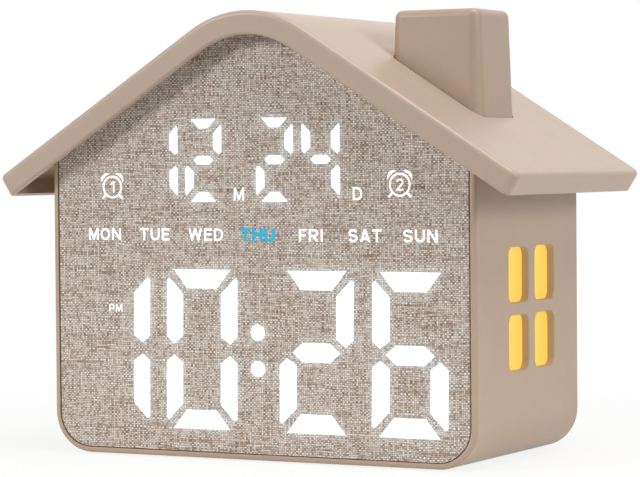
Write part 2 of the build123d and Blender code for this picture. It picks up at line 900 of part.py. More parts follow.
def battery_cap():
    cap = rod(cap_place, cap_radius, cap_front, cover_back)
    lugs = cap_sector(cap_radius + lug_reach, lug_angle, 0)
    skirt = Circle(cap_radius) - Circle(cap_radius - holder_wall)
    cap += along_depth(Pos(*cap_place) * skirt, lug_front, cap_front)
    for wedge in lugs:
        ring = wedge - Circle(cap_radius - holder_wall)
        cap += along_depth(Pos(*cap_place) * ring, lug_front, lug_back)
    cap += rod(cap_place, cap_boss_radius, cell_back + cell_gap, cap_front)
    slot = Pos(*cap_place) * SlotOverall(coin_slot_length, coin_slot_width)
    return cap - along_depth(slot, cover_back - coin_slot_depth, cover_back + overrun)


# Roof screws, ribbon and leads
def roof_screws():
    screws = []
    for x, y in roof_screw_places:
        seat = slope_plane(x, y, under_roof)
        inward = Plane(seat.origin, x_dir=seat.x_dir, z_dir=-seat.z_dir)
        screws.append(inward * screw(roof_screw_length, washer=True))
    return group(screws)


def ribbon_sockets():
    face = Rectangle(ribbon_socket_width, ribbon_socket_height)
    high, low = foot_height + ribbon_high, foot_height + ribbon_low
    front = along_depth(Pos(0, high) * face, board_back, board_back + ribbon_socket_depth)
    back = along_depth(Pos(0, low) * face, main_front - ribbon_socket_depth, main_front)
    return group([front, back])


def ribbon_cable():
    start = board_back + ribbon_socket_depth
    end = main_front - ribbon_socket_depth
    high, low = foot_height + ribbon_high, foot_height + ribbon_low
    route = [(start, high), (start + ribbon_run, high), (end - ribbon_run, low), (end, low)]
    strip = trace(FilletPolyline(*route, radius=ribbon_bend), line_width=ribbon_thickness)
    return along_width(strip, -ribbon_width / 2, ribbon_width / 2)


def lead(points):
    shortest = min(math.dist(start, end) for start, end in zip(points, points[1:]))
    path = FilletPolyline(*points, radius=min(lead_bend, lead_bend_share * shortest))
    return sweep(Plane(path @ 0, z_dir=path % 0) * Circle(lead_radius), path=path)


def window_lead(side):
    start = side * (window_board_face - window_board_thickness)
    turn = side * lead_across
    return lead([(start, 0, lead_level), (turn, 0, lead_level), (turn, main_front, lead_level)])


def snooze_lead():
    top = snooze_board_level - snooze_board_thickness
    x, y = chimney_offset, chimney_back + snooze_board_width / 2
    return lead([(x, y, top), (x, y, key_level), (x, main_front, key_level)])


os.makedirs("parts", exist_ok=True)
save("house_body", house_body())
save("roof_shell", roof_shell())
save("rubber_feet", rubber_feet())
save("roof_screws", roof_screws())
save("chimney_key", chimney_key())
save("snooze_plunger", snooze_seat * switch_plunger(snooze_plunger_reach))
save("snooze_switch", snooze_seat * switch_body())
save("snooze_board", snooze_board())
save("snooze_screws", snooze_screws())
save("snooze_lead", snooze_lead())
save("fabric_face", fabric_face())
save("front_panel", front_panel())
save("diffuser_film", diffuser_film())
save("segment_reflector", segment_reflector())
save("display_board", display_board())
save("display_leds", display_leds())
save("display_chips", display_chips())
save("display_screws", display_screws())
for name, side in (("right", 1), ("left", -1)):
    save(f"window_pane_{name}", window_pane(side))
    save(f"window_light_box_{name}", window_light_box(side))
    save(f"window_board_{name}", window_board(side))
    save(f"window_lead_{name}", window_lead(side))
save("window_leds", window_leds())
save("window_screws", window_screws())
save("rear_cover", rear_cover())
save("rear_screws", rear_screws())
for name, x in zip(key_names, key_places):
    save(name, setting_key(x))
    save(f"{name}_plunger", key_plunger(x))
save("key_switches", key_switches())
save("main_board", main_board())
save("main_board_screws", main_board_screws())
save("clock_chip", clock_chip())
save("quartz_crystal", quartz_crystal())
save("supply_capacitors", supply_capacitors())
save("usb_inlet", usb_inlet())
save("speaker", speaker())
save("backup_cell", backup_cell())
save("cell_holder", cell_holder())
save("battery_cap", battery_cap())
save("ribbon_sockets", ribbon_sockets())
save("ribbon_cable", ribbon_cable())
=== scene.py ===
"""House-shaped alarm clock in its finished look: linen front, lit digits, warm windows, moulded plastic.

Metres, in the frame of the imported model: +X right, +Y back, +Z up.
"""
import math

import bmesh
import bpy
from mathutils import Matrix, Vector
from mathutils.geometry import delaunay_2d_cdt, intersect_point_line


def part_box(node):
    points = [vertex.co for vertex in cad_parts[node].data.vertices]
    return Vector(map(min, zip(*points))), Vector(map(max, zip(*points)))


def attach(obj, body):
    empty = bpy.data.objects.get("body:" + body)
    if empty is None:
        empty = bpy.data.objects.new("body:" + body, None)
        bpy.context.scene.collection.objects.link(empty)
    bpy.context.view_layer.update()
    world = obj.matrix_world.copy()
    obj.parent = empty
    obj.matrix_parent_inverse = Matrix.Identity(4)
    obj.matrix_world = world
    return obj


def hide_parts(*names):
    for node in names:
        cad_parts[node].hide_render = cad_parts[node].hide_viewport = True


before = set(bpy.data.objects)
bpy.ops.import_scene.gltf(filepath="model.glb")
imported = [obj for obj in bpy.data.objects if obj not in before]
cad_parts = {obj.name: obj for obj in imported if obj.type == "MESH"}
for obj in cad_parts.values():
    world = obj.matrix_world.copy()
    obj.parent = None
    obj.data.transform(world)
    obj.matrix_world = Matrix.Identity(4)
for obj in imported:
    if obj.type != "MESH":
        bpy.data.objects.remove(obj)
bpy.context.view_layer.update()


def corners(node):
    """The low and the high corner of one of the frame's nodes."""
    return [Vector(corner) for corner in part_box(node)]


# Camera, as fitted to the photograph
image_width, image_height = 640, 477
sensor_width = 36.0
focal_pixels = 2712.1
principal_pixel = (322.7, 238.2)
camera_turn = math.radians(28.06)
camera_rise = math.radians(1.67)
camera_roll = math.radians(-0.48)
camera_distance = 0.7774
camera_target = Vector((0.0, 0.00158, 0.0604))

# Places taken from the frame
underside = corners("house_body")[0].z
cloth_low, cloth_high = corners("fabric_face")
cover_back = corners("rear_cover")[1].y
cap_low, cap_high = corners("battery_cap")

# Moulded plastics: light and dark tone, roughness, and depth of the grain
plastics = {
    "house_plastic_satin": ((196, 174, 152), (184, 161, 139), 0.42, 0.000012),
    "roof_plastic_satin": ((196, 176, 157), (184, 163, 144), 0.38, 0.000010),
    # The chimney's tones are the roof plastic's made darker and warmer: painted shade for the shade that
    # falls on the chimney
    "roof_plastic_chimney_painted_shade": ((189, 166, 145), (177, 153, 133), 0.38, 0.000010),
    "key_plastic_satin": ((170, 150, 132), (158, 138, 120), 0.5, 0.000012),
    "white_plastic_matt": ((240, 239, 236), (228, 226, 222), 0.5, 0.000010),
    "black_plastic_matt": ((44, 43, 42), (30, 29, 29), 0.5, 0.000016),
    "lead_sleeve_vinyl": ((214, 210, 204), (196, 192, 186), 0.45, 0.000010),
    "rear_ink": ((92, 78, 66), (78, 66, 56), 0.6, 0.000008),
}
speck_share, gloss_swing, gloss_relief = 0.3, 0.06, 0.4

# Cloth front: its rolled edge, its slack towards the bottom, and the digits' light that spreads in it
cloth_edge_round, cloth_edge_steps = 0.00025, 3
cloth_sag, cloth_sag_rise = 0.00022, 0.012
cloth_facing = -0.9
flat_turn = math.radians(1)
merge_distance = 0.000001
fill_inside = 1
glow_reach, glow_steps = 0.0023, 3
glow_layer, glow_colour, glow_strength = "glow", (0.65, 0.92, 1.0, 1.0), 0.12

# Weave: pitch of the threads, how many threads they wander, and how their backs rise and dip
warp_pitch, weft_pitch = 0.0006, 0.00054
warp_wander, weft_wander = 1.5, 2.8
wander_along, wander_across = 90.0, 420.0
thread_middle, thread_rise, thread_depth = 0.55, 0.45, 0.0001
# Painted shade in the hollows between threads: how dark it gets at the bottom of a dip, and how it lifts as
# the threads rise
hollow_shade_base, hollow_shade_rise = 0.245, 0.82
fibre_share, fibre_relief = 0.2, 0.3
fleck_share = 0.45

# Yarns: tones from dark to light, and streaks by their step between threads and stretch along them
yarn_stops = (0.28, 0.50, 0.74)
warp_tones = ((170, 145, 124), (222, 201, 184), (250, 237, 225))
weft_tones = ((222, 203, 187), (255, 246, 238), (255, 255, 253))
# The first is the brown of the slubs; the second is painted shade for the hollows between the threads
slub_tone, hollow_shade_tone = (128, 90, 64), (78, 58, 44)
slub_start, slub_full, slub_cover = 0.58, 0.72, 0.65
warp_streak_step, warp_streak_stretch = 7.31, 0.08
weft_streak_step, weft_streak_stretch = 5.77, 0.06
warp_slub_step, warp_slub_stretch = 4.63, 0.06
weft_slub_step, weft_slub_stretch = 3.91, 0.04

# Light through the cloth: how far threads and clouds show in it, and how strong it is
lit_base, lit_threads, lit_clouds = 0.4, 0.1, 0.5
shade_share, unlit_share = 0.9, 0.1
digit_strength, today_strength = 1.15, 1.0

# Lit digits and legends, on the face of the cloth
lit_proud, lit_depth = 0.00004, 0.00012
lit_corner, lit_corner_steps = 0.00012, 2
big_digits = {"1": -0.0457, "0": -0.0175, "2": 0.0185, "6": 0.0468}
big_low, big_width, big_height, big_stroke = 0.00805, 0.0227, 0.04435, 0.0053
big_waist_rise, big_lean = -0.0001, 0.011
month_digits = {"1": -0.0306, "2": -0.0165}
date_digits = {"2": 0.0060, "4": 0.0203}
small_low, small_width, small_height, small_stroke = 0.07115, 0.0117, 0.02295, 0.0027
small_waist_rise, small_lean = 0.0, 0.0
colon_place, colon_radius, colon_spread, colon_sides = 0.0003, 0.00225, 0.0050, 40
digit_segments = {"0": "abcdef", "1": "bc", "2": "abged", "4": "fgbc", "6": "afgedc"}
day_names = ("MON", "TUE", "WED", "THU", "FRI", "SAT", "SUN")
today = "THU"
day_place, day_pitch, day_level, day_cap, today_cap = 0.00055, 0.0165, 0.06204, 0.00345, 0.0037
letter_marks = {
    "M": (-0.00525, 0.0732, 0.00355),
    "D": (0.0314, 0.0733, 0.0036),
    "PM": (-0.0456, 0.0412, 0.0023),
}
alarm_marks = {"1": (-0.0463, 0.0753), "2": (0.0441, 0.0757)}
alarm_ring, alarm_line, alarm_ring_steps = 0.0032, 0.00052, 48
alarm_number_cap, alarm_number_stem = 0.0033, 0.14
bell_reach, bell_radius, bell_gap = 0.0027, 0.0019, 0.0006
bell_turn, bell_steps = math.radians(42), 12
foot_from, foot_to, foot_line = 0.0030, 0.0047, 0.0006

# Shares of the stroke that shape the mitred segments
big_shares = {
    "cap_end": 0.42,
    "cap_mitre": 1.24,
    "shoulder": 0.55,
    "nose_in": 0.16,
    "nose": 0.45,
    "inner_top": 1.29,
    "inner_low": 0.69,
    "tip_in": 0.44,
    "tip": 0.30,
    "outer_low": 0.67,
    "bar_tip": 0.76,
    "bar_shoulder": 1.34,
    "bar_half": 0.50,
}
small_shares = {
    "cap_end": 0.67,
    "cap_mitre": 1.62,
    "shoulder": 0.92,
    "nose_in": 0.12,
    "nose": 0.65,
    "inner_top": 1.53,
    "inner_low": 1.16,
    "tip_in": 0.30,
    "tip": 0.57,
    "outer_low": 0.86,
    "bar_tip": 1.00,
    "bar_shoulder": 1.46,
    "bar_half": 0.45,
}

# Printing on the rear cover
print_proud, print_depth = 0.00003, 0.00006
key_labels = {
    "set_key": "SET",
    "alarm_key": "ALARM",
    "up_key": "UP",
    "down_key": "DOWN",
    "light_key": "LIGHT",
}
key_label_rise, key_label_cap = 0.0034, 0.0017
inlet_label_drop, inlet_label_cap = 0.0046, 0.0017
cap_mark_gap, cap_mark_radius, cap_mark_line, cap_mark_steps = 0.0026, 0.0009, 0.00035, 32
cap_open_turn = math.radians(60)

# Studio, with each lamp's place, width, power, and whether gloss shows it
floor_half = 0.32
floor_near, floor_far = 0.12, 0.3
floor_near_white_share, floor_far_white_share = 0.86, 1.0
lamps = {
    "key_lamp": ((0.3, -0.08, 1.3), 1.0, 12.0, True),
    "left_lamp": ((-0.62, -0.86, 0.50), 0.34, 5.55, True),
    "right_lamp": ((1.1, -0.2, 0.55), 0.6, 5.4, True),
    "rear_lamp": ((-0.3, 1.1, 0.6), 0.6, 4.0, False),
}
world_strength = 0.03
white, black = (1.0, 1.0, 1.0, 1.0), (0.0, 0.0, 0.0, 1.0)


# Shader graph
class Value:
    """One shader socket; sums, products and comparisons of it add Math nodes."""

    def __init__(self, finish, socket):
        self.finish, self.socket = finish, socket

    def maths(self, operation, *inputs):
        return self.finish.node("ShaderNodeMath", {"operation": operation}, dict(enumerate(inputs)))

    def __add__(self, other):
        return self.maths("ADD", self, other)

    def __sub__(self, other):
        return self.maths("SUBTRACT", self, other)

    def __rsub__(self, other):
        return self.maths("SUBTRACT", other, self)

    def __mul__(self, other):
        return self.maths("MULTIPLY", self, other)

    def __truediv__(self, other):
        return self.maths("DIVIDE", self, other)

    def __mod__(self, other):
        return self.maths("FLOORED_MODULO", self, other)

    def __gt__(self, other):
        return self.maths("GREATER_THAN", self, other)

    __radd__ = __add__
    __rmul__ = __mul__

    def floor(self):
        return self.maths("FLOOR", self)

    def sine(self):
        return self.maths("SINE", self)

    def largest(self, other):
        return self.maths("MAXIMUM", self, other)

    def spread(self, low, high):
        """Takes shares from nothing to one to numbers from low to high."""
        return self * (high - low) + low


class Finish:
    """The node tree of one material or of the world."""

    def __init__(self, owner):
        owner.use_nodes = True
        self.owner, self.tree = owner, owner.node_tree
        self.tree.nodes.clear()

    def node(self, kind, settings=None, inputs=None, output=0):
        """Adds a node: its settings first, then the values or links of its sockets."""
        made = self.tree.nodes.new(kind)
        for name, value in (settings or {}).items():
            if name == "stops":
                ramp = made.color_ramp.elements
                while len(ramp) < len(value):
                    ramp.new(1.0)
                for stop, (place, colour) in zip(ramp, value):
                    stop.position, stop.color = place, colour
            else:
                setattr(made, name, value)
        for name, value in (inputs or {}).items():
            if isinstance(value, Value):
                self.tree.links.new(value.socket, made.inputs[name])
            else:
                made.inputs[name].default_value = value
        return Value(self, made.outputs[output])

    def place(self):
        """Object coordinates and their three parts."""
        point = self.node("ShaderNodeTexCoord", output="Object")
        parts = [self.node("ShaderNodeSeparateXYZ", inputs={0: point}, output=axis) for axis in range(3)]
        return point, parts

    def noise(self, point, scale=1.0, detail=2.0, roughness=0.5):
        sockets = {"Vector": point, "Scale": scale, "Detail": detail, "Roughness": roughness}
        return self.node("ShaderNodeTexNoise", inputs=sockets)

    def ramp(self, share, stops):
        return self.node("ShaderNodeValToRGB", {"stops": stops}, {0: share})

    def between(self, value, start, end, first, last):
        """Goes from a first number to a last one as a value goes from its start to its end."""
        return self.node("ShaderNodeMapRange", inputs={0: value, 1: start, 2: end, 3: first, 4: last})

    def joined(self, x, y, z):
        return self.node("ShaderNodeCombineXYZ", inputs={0: x, 1: y, 2: z})

    def mix(self, share, first, second, blend="MIX"):
        settings = {"data_type": "RGBA", "blend_type": blend}
        return self.node("ShaderNodeMix", settings, {0: share, 6: first, 7: second}, output=2)

    def bump(self, height, depth):
        return self.node("ShaderNodeBump", inputs={"Height": height, "Distance": depth})

    def background_rays(self):
        """One for a ray from the camera, from gloss or through a clear piece, and nothing for the others."""
        rays = ("Is Camera Ray", "Is Glossy Ray", "Is Transmission Ray")
        return sum(self.node("ShaderNodeLightPath", output=ray) for ray in rays)

    def surface(self, **sockets):
        """A Principled surface; underscores in the names stand for spaces."""
        named = {name.replace("_", " "): value for name, value in sockets.items()}
        self.show(self.node("ShaderNodeBsdfPrincipled", inputs=named))
        return self.owner

    def show(self, shader, kind="ShaderNodeOutputMaterial"):
        shown = self.tree.nodes.new(kind)
        self.tree.links.new(shader.socket, shown.inputs["Surface"])


def new_finish(name):
    return Finish(bpy.data.materials.new(name))


def tone(red, green, blue):
    """A colour given in screen values, 0 to 255, as scene values with full cover."""
    shares = [part / 255 for part in (red, green, blue)]
    return tuple(s / 12.92 if s <= 0.04045 else ((s + 0.055) / 1.055) ** 2.4 for s in shares) + (1.0,)


def dimmed(colour, share):
    """A share of a colour, with full cover."""
    return tuple(part * share for part in colour[:3]) + (1.0,)


# Finishes
def moulded_plastic(name):
    """Satin moulded plastic: faint flow mottling, fine spark grain and uneven gloss."""
    light, dark, roughness, grain_depth = plastics[name]
    finish = new_finish(name)
    point, _ = finish.place()
    flow = finish.noise(point, scale=45.0, detail=3.0)
    grain = finish.noise(point, scale=2600.0)
    gloss = finish.noise(point, scale=320.0, detail=3.0)
    speck = finish.noise(point, scale=900.0, detail=1.0)
    mottling = flow * (1 - speck_share) + speck * speck_share
    return finish.surface(
        Base_Color=finish.mix(mottling, tone(*dark), tone(*light)),
        Roughness=gloss.spread(roughness - gloss_swing, roughness + gloss_swing),
        Normal=finish.bump(grain + gloss * gloss_relief, grain_depth),
    )


def yarn_ramp(finish, share, tones):
    return finish.ramp(share, [(stop, tone(*shade)) for stop, shade in zip(yarn_stops, tones)])


def linen_cloth(name):
    """Plain woven linen: a pale weft over a browner warp, uneven threads, brown slubs, round backs, and
    painted shade in the hollows between the threads.

    The last coordinate of a noise's place picks a slice of it.
    """
    finish = new_finish(name)
    point, (x, _, z) = finish.place()
    wander = finish.noise(finish.joined(x * wander_across, z * wander_along, 0.0)) - 0.5
    drift = finish.noise(finish.joined(x * wander_along, z * wander_across, 5.0)) - 0.5
    across = x / warp_pitch + wander * warp_wander
    up = z / weft_pitch + drift * weft_wander
    warp, weft = across.floor(), up.floor()
    warp_back = ((across - warp) * math.pi).sine()
    weft_back = ((up - weft) * math.pi).sine()
    over = (warp + weft) % 2.0 * 2.0 - 1.0
    warp_level = warp_back * (thread_middle + over * weft_back * thread_rise)
    weft_level = weft_back * (thread_middle - over * warp_back * thread_rise)
    warp_on_top = warp_level > weft_level
    warp_streak = finish.joined(warp * warp_streak_step, up * warp_streak_stretch, 0.0)
    weft_streak = finish.joined(across * weft_streak_stretch, weft * weft_streak_step, 4.0)
    warp_slub = finish.joined(warp * warp_slub_step, up * warp_slub_stretch, 8.0)
    weft_slub = finish.joined(across * weft_slub_stretch, weft * weft_slub_step, 9.0)
    crossing = finish.joined(warp, weft, 0.0)
    fleck = finish.node("ShaderNodeTexWhiteNoise", {"noise_dimensions": "2D"}, {"Vector": crossing})
    fibre = finish.noise(point, scale=2600.0) - 0.5
    uneven = (fleck - 0.5) * fleck_share + fibre * fibre_share
    warp_yarn = yarn_ramp(finish, finish.noise(warp_streak, roughness=0.6) + uneven, warp_tones)
    weft_yarn = yarn_ramp(finish, finish.noise(weft_streak, roughness=0.6) + uneven, weft_tones)
    slub = finish.mix(warp_on_top, finish.noise(weft_slub, detail=1.0), finish.noise(warp_slub, detail=1.0))
    slub_share = finish.between(slub, slub_start, slub_full, 0.0, slub_cover)
    yarn = finish.mix(slub_share, finish.mix(warp_on_top, weft_yarn, warp_yarn), tone(*slub_tone))
    level = warp_level.largest(weft_level)
    # Painted shade: the yarn darkens towards the hollow tone where the threads dip
    painted_hollow_shade = finish.mix(level * hollow_shade_rise + hollow_shade_base, tone(*hollow_shade_tone), white)
    glow = finish.node("ShaderNodeAttribute", {"attribute_name": glow_layer}, output="Fac")
    return finish.surface(
        Base_Color=finish.mix(1.0, yarn, painted_hollow_shade, "MULTIPLY"),
        Roughness=0.92,
        Sheen_Weight=0.12,
        Sheen_Roughness=0.6,
        Emission_Color=finish.mix(glow, black, glow_colour),
        Emission_Strength=glow_strength,
        Normal=finish.bump(level + fibre * fibre_relief, thread_depth),
    )


def lit_cloth(name, colour, strength):
    """Light through the cloth: an even glow with the threads just showing."""
    finish = new_finish(name)
    point, (x, _, z) = finish.place()
    threads = (x * (math.pi / warp_pitch)).sine() * (z * (math.pi / weft_pitch)).sine()
    clouds = finish.noise(point, scale=300.0)
    share = threads * lit_threads + clouds * lit_clouds + lit_base
    return finish.surface(
        Base_Color=dimmed(colour, unlit_share),
        Roughness=0.9,
        Emission_Color=finish.mix(share, dimmed(colour, shade_share), colour),
        Emission_Strength=strength,
    )


def lit_pane(name):
    """Back-lit amber sheet with a soft cloud of light and a fine frosting."""
    finish = new_finish(name)
    point, _ = finish.place()
    cloud = finish.noise(point, scale=90.0)
    frost = finish.noise(point, scale=3000.0)
    return finish.surface(
        Base_Color=tone(136, 92, 24),
        Roughness=frost.spread(0.3, 0.5),
        Emission_Color=finish.mix(cloud, tone(255, 206, 78), tone(255, 214, 94)),
        Emission_Strength=0.85,
        Normal=finish.bump(frost, depth=0.00002),
    )


def brushed_steel(name):
    """Steel with fine lines along X."""
    along, across = 400.0, 4000.0
    finish = new_finish(name)
    _, (x, y, z) = finish.place()
    brush = finish.noise(finish.joined(x * along, y * across, z * across))
    return finish.surface(
        Base_Color=finish.mix(brush, tone(170, 172, 175), tone(206, 207, 208)),
        Metallic=1.0,
        Roughness=brush.spread(0.22, 0.42),
        Normal=finish.bump(brush, depth=0.00001),
    )


def soft_rubber(name):
    """Matt grey brown rubber with a fine grain."""
    finish = new_finish(name)
    point, _ = finish.place()
    grain = finish.noise(point, scale=1800.0, detail=3.0)
    return finish.surface(
        Base_Color=finish.mix(grain, tone(120, 108, 98), tone(140, 128, 117)),
        Roughness=grain.spread(0.7, 0.85),
        Normal=finish.bump(grain, depth=0.00004),
    )


def circuit_board(name):
    """Green solder mask with copper runs just showing under it."""
    copper_share, mask_share = 0.6, 0.2
    finish = new_finish(name)
    point, _ = finish.place()
    runs = finish.node(
        "ShaderNodeTexBrick", {"offset": 0.37, "squash": 1.6}, {"Vector": point, "Scale": 160.0}, output="Fac"
    )
    mask = finish.noise(point, scale=500.0)
    return finish.surface(
        Base_Color=finish.mix(runs * copper_share + mask * mask_share, tone(22, 82, 52), tone(70, 128, 74)),
        Roughness=mask.spread(0.3, 0.5),
        Normal=finish.bump(runs, depth=0.00004),
    )


def clear_sheet(name):
    """Pale plastic film with a light haze."""
    finish = new_finish(name)
    point, _ = finish.place()
    haze = finish.noise(point, scale=700.0)
    return finish.surface(
        Base_Color=finish.mix(haze, tone(200, 196, 190), tone(226, 223, 218)),
        Roughness=haze.spread(0.2, 0.4),
        Normal=finish.bump(haze, depth=0.00001),
    )


finishes = {
    "house_plastic": moulded_plastic("house_plastic_satin"),
    "roof_plastic": moulded_plastic("roof_plastic_satin"),
    "key_plastic": moulded_plastic("key_plastic_satin"),
    "white_plastic": moulded_plastic("white_plastic_matt"),
    "black_plastic": moulded_plastic("black_plastic_matt"),
    "lead_sleeve": moulded_plastic("lead_sleeve_vinyl"),
    "linen": linen_cloth("linen_weave"),
    "clear_sheet": clear_sheet("clear_sheet_hazed"),
    "amber_pane": lit_pane("amber_pane_lit"),
    "lamp": lit_cloth("lamp_white", white, digit_strength),
    "foot_rubber": soft_rubber("foot_rubber_matt"),
    "steel": brushed_steel("steel_brushed"),
    "circuit_board": circuit_board("circuit_board_green"),
}
today_finish = lit_cloth("today_cyan", tone(30, 180, 216), today_strength)
chimney_painted_shade_finish = moulded_plastic("roof_plastic_chimney_painted_shade")
ink_finish = moulded_plastic("rear_ink")

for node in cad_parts.values():
    for held in node.material_slots:
        held.material = finishes[held.material.name]
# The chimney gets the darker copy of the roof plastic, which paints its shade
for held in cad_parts["chimney_key"].material_slots:
    held.material = chimney_painted_shade_finish


# Mesh helpers
def add_plate(bm, outline, depth_place):
    """One flat face with an X-Z outline at a depth."""
    bm.faces.new([bm.verts.new((x, depth_place, z)) for x, z in outline])


def add_ring(bm, centre, inner, outer, steps):
    """A flat ring in the plane of the front, or a full disk where its inner radius is nothing."""
    ends = [bm.verts.new(centre + Vector((radius, 0, 0))) for radius in (inner, outer)]
    edge = bm.edges.new(ends)
    bmesh.ops.spin(
        bm, geom=[*ends, edge], cent=centre, axis=(0, -1, 0), angle=2 * math.pi, steps=steps, use_merge=True
    )


def give_depth(bm, depth):
    """Turns flat front faces into thin plates that reach back by a depth."""
    bmesh.ops.remove_doubles(bm, verts=bm.verts, dist=merge_distance)
    grown = bmesh.ops.extrude_face_region(bm, geom=bm.faces[:], use_keep_orig=True)["geom"]
    moved = [part for part in grown if isinstance(part, bmesh.types.BMVert)]
    bmesh.ops.translate(bm, verts=moved, vec=(0, depth, 0))


def add_piece(name, bm, finish, body="clock"):
    """Makes a mesh a piece that rides on one of the bodies."""
    bmesh.ops.recalc_face_normals(bm, faces=bm.faces)
    mesh = bpy.data.meshes.new(name)
    bm.to_mesh(mesh)
    bm.free()
    mesh.materials.append(finish)
    made = bpy.data.objects.new(name, mesh)
    bpy.context.scene.collection.objects.link(made)
    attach(made, body)
    return made


def join_into(bm, part):
    """Adds one mesh to another and lets it go."""
    mesh = bpy.data.meshes.new("part")
    part.to_mesh(mesh)
    part.free()
    bm.from_mesh(mesh)
    bpy.data.meshes.remove(mesh)


# Lettering: centre lines of the strokes of each capital, as shares of its height
stem_share, today_stem_share, mark_stem_share = 0.18, 0.25, 0.155
letter_gap_share = 0.2
near, top = stem_share / 2, 1 - stem_share / 2
bend_steps = 12


def bend(centre, reach, start, end):
    """Points along part of an ellipse, from one angle to another in degrees."""
    turns = [math.radians(start + (end - start) * step / bend_steps) for step in range(bend_steps + 1)]
    return [(centre[0] + reach[0] * math.cos(turn), centre[1] + reach[1] * math.sin(turn)) for turn in turns]


# Each capital's width and strokes
letter_shares = {
    "A": (0.86, [[(0.05, -0.1), (0.43, 1.02), (0.81, -0.1)], [(0.25, 0.29), (0.61, 0.29)]]),
    "D": (0.82, [
        [(near, near), (near, top), (0.38, top), *bend((0.38, 0.5), (0.36, 0.41), 90, -90), (near, near)],
    ]),
    "E": (0.74, [[(0.74, top), (near, top), (near, near), (0.74, near)], [(0.16, 0.52), (0.68, 0.52)]]),
    "F": (0.68, [[(near, 0.0), (near, top), (0.68, top)], [(0.16, 0.5), (0.6, 0.5)]]),
    "G": (0.92, [[*bend((0.48, 0.5), (0.4, 0.42), 40, 320), (0.84, 0.22), (0.84, 0.46), (0.5, 0.46)]]),
    "H": (0.82, [[(near, 0.0), (near, 1.0)], [(0.74, 0.0), (0.74, 1.0)], [(0.16, 0.53), (0.66, 0.53)]]),
    "I": (0.16, [[(near, 0.0), (near, 1.0)]]),
    "L": (0.66, [[(near, 1.0), (near, near), (0.66, near)]]),
    "M": (0.94, [[(near, 0.0), (near, 1.0), (0.47, 0.14), (0.86, 1.0), (0.86, 0.0)]]),
    "N": (0.86, [[(near, 0.0), (near, 1.0), (0.78, 0.0), (0.78, 1.0)]]),
    "O": (0.90, [bend((0.45, 0.5), (0.37, 0.42), 0, 360)]),
    "P": (0.76, [
        [(near, 0.0), (near, top), (0.44, top), *bend((0.44, 0.66), (0.24, 0.25), 90, -90), (0.16, 0.41)],
    ]),
    "R": (0.86, [
        [(near, 0.0), (near, top), (0.5, top), *bend((0.5, 0.68), (0.24, 0.24), 90, -90), (0.16, 0.44)],
        [(0.46, 0.4), (0.8, -0.1)],
    ]),
    "S": (0.82, [[*bend((0.41, 0.71), (0.31, 0.21), 15, 240), *bend((0.41, 0.29), (0.32, 0.21), 60, -165)]]),
    "T": (0.80, [[(0.0, top), (0.8, top)], [(0.4, 0.84), (0.4, 0.0)]]),
    "U": (0.86, [[(near, 1.0), (near, 0.4), *bend((0.43, 0.4), (0.34, 0.31), 180, 360), (0.77, 1.0)]]),
    "V": (0.92, [[(0.05, 1.1), (0.46, 0.08), (0.87, 1.1)]]),
    "W": (1.24, [[(0.05, 1.1), (0.32, 0.06), (0.62, 0.96), (0.92, 0.06), (1.19, 1.1)]]),
    "1": (0.42, [[(0.34, 0.0), (0.34, 0.94), (0.04, 0.7)]]),
    "2": (0.70, [[*bend((0.35, 0.69), (0.26, 0.23), 170, -35), (0.1, near), (0.68, near)]]),
    "5": (0.70, [[(0.64, top), (0.18, top), (0.12, 0.5), *bend((0.35, 0.34), (0.26, 0.26), 120, -160)]]),
}


def add_stroke(bm, line, width):
    """A flat mitred ribbon along a line of X-Z points, closed if the line ends at its start."""
    given = [Vector(point) for point in line]
    points = [here for here, after in zip(given, given[1:]) if (after - here).length > merge_distance]
    points.append(given[-1])
    closed = (points[0] - points[-1]).length < merge_distance
    if closed:
        points.pop()
    leaving = [(after - here).normalized() for here, after in zip(points, points[1:] + points[:1])]
    if not closed:
        leaving[-1] = leaving[-2]
    sides = []
    for place, here in enumerate(points):
        leave = leaving[place]
        arrive = leaving[place - 1] if place or closed else leave
        mitre = (arrive.orthogonal() + leave.orthogonal()) / (1 + arrive.dot(leave)) * width / 2
        sides.append([bm.verts.new((edge.x, 0, edge.y)) for edge in (here - mitre, here + mitre)])
    for first, second in zip(sides, sides[1:] + (sides[:1] if closed else [])):
        bm.faces.new((first[0], second[0], second[1], first[1]))


def add_words(bm, words, cap_height, place, stem=stem_share, facing=-1, thickness=lit_depth):
    """Upright capitals centred on a place, read from the front (-1) or from behind (1)."""
    flat, pen = bmesh.new(), 0.0
    for letter in words:
        width, strokes = letter_shares[letter]
        for line in strokes:
            add_stroke(flat, [(pen + x, z) for x, z in line], stem)
        pen += width + letter_gap_share
    for level, outward in ((0, -1), (1, 1)):
        whole = flat.verts[:] + flat.edges[:] + flat.faces[:]
        bmesh.ops.bisect_plane(
            flat, geom=whole, plane_co=(0, 0, level), plane_no=(0, 0, outward), clear_outer=True
        )
    middle = Vector(((pen - letter_gap_share) / 2, 0, 0.5))
    turn = Matrix.Rotation(math.pi if facing > 0 else 0.0, 4, "Z")
    fit = turn @ Matrix.Scale(cap_height, 4) @ Matrix.Translation(-middle)
    flat.transform(Matrix.Translation(place) @ fit)
    give_depth(flat, -facing * thickness)
    join_into(bm, flat)


# Lit digits
lit_face = cloth_low.y - lit_proud


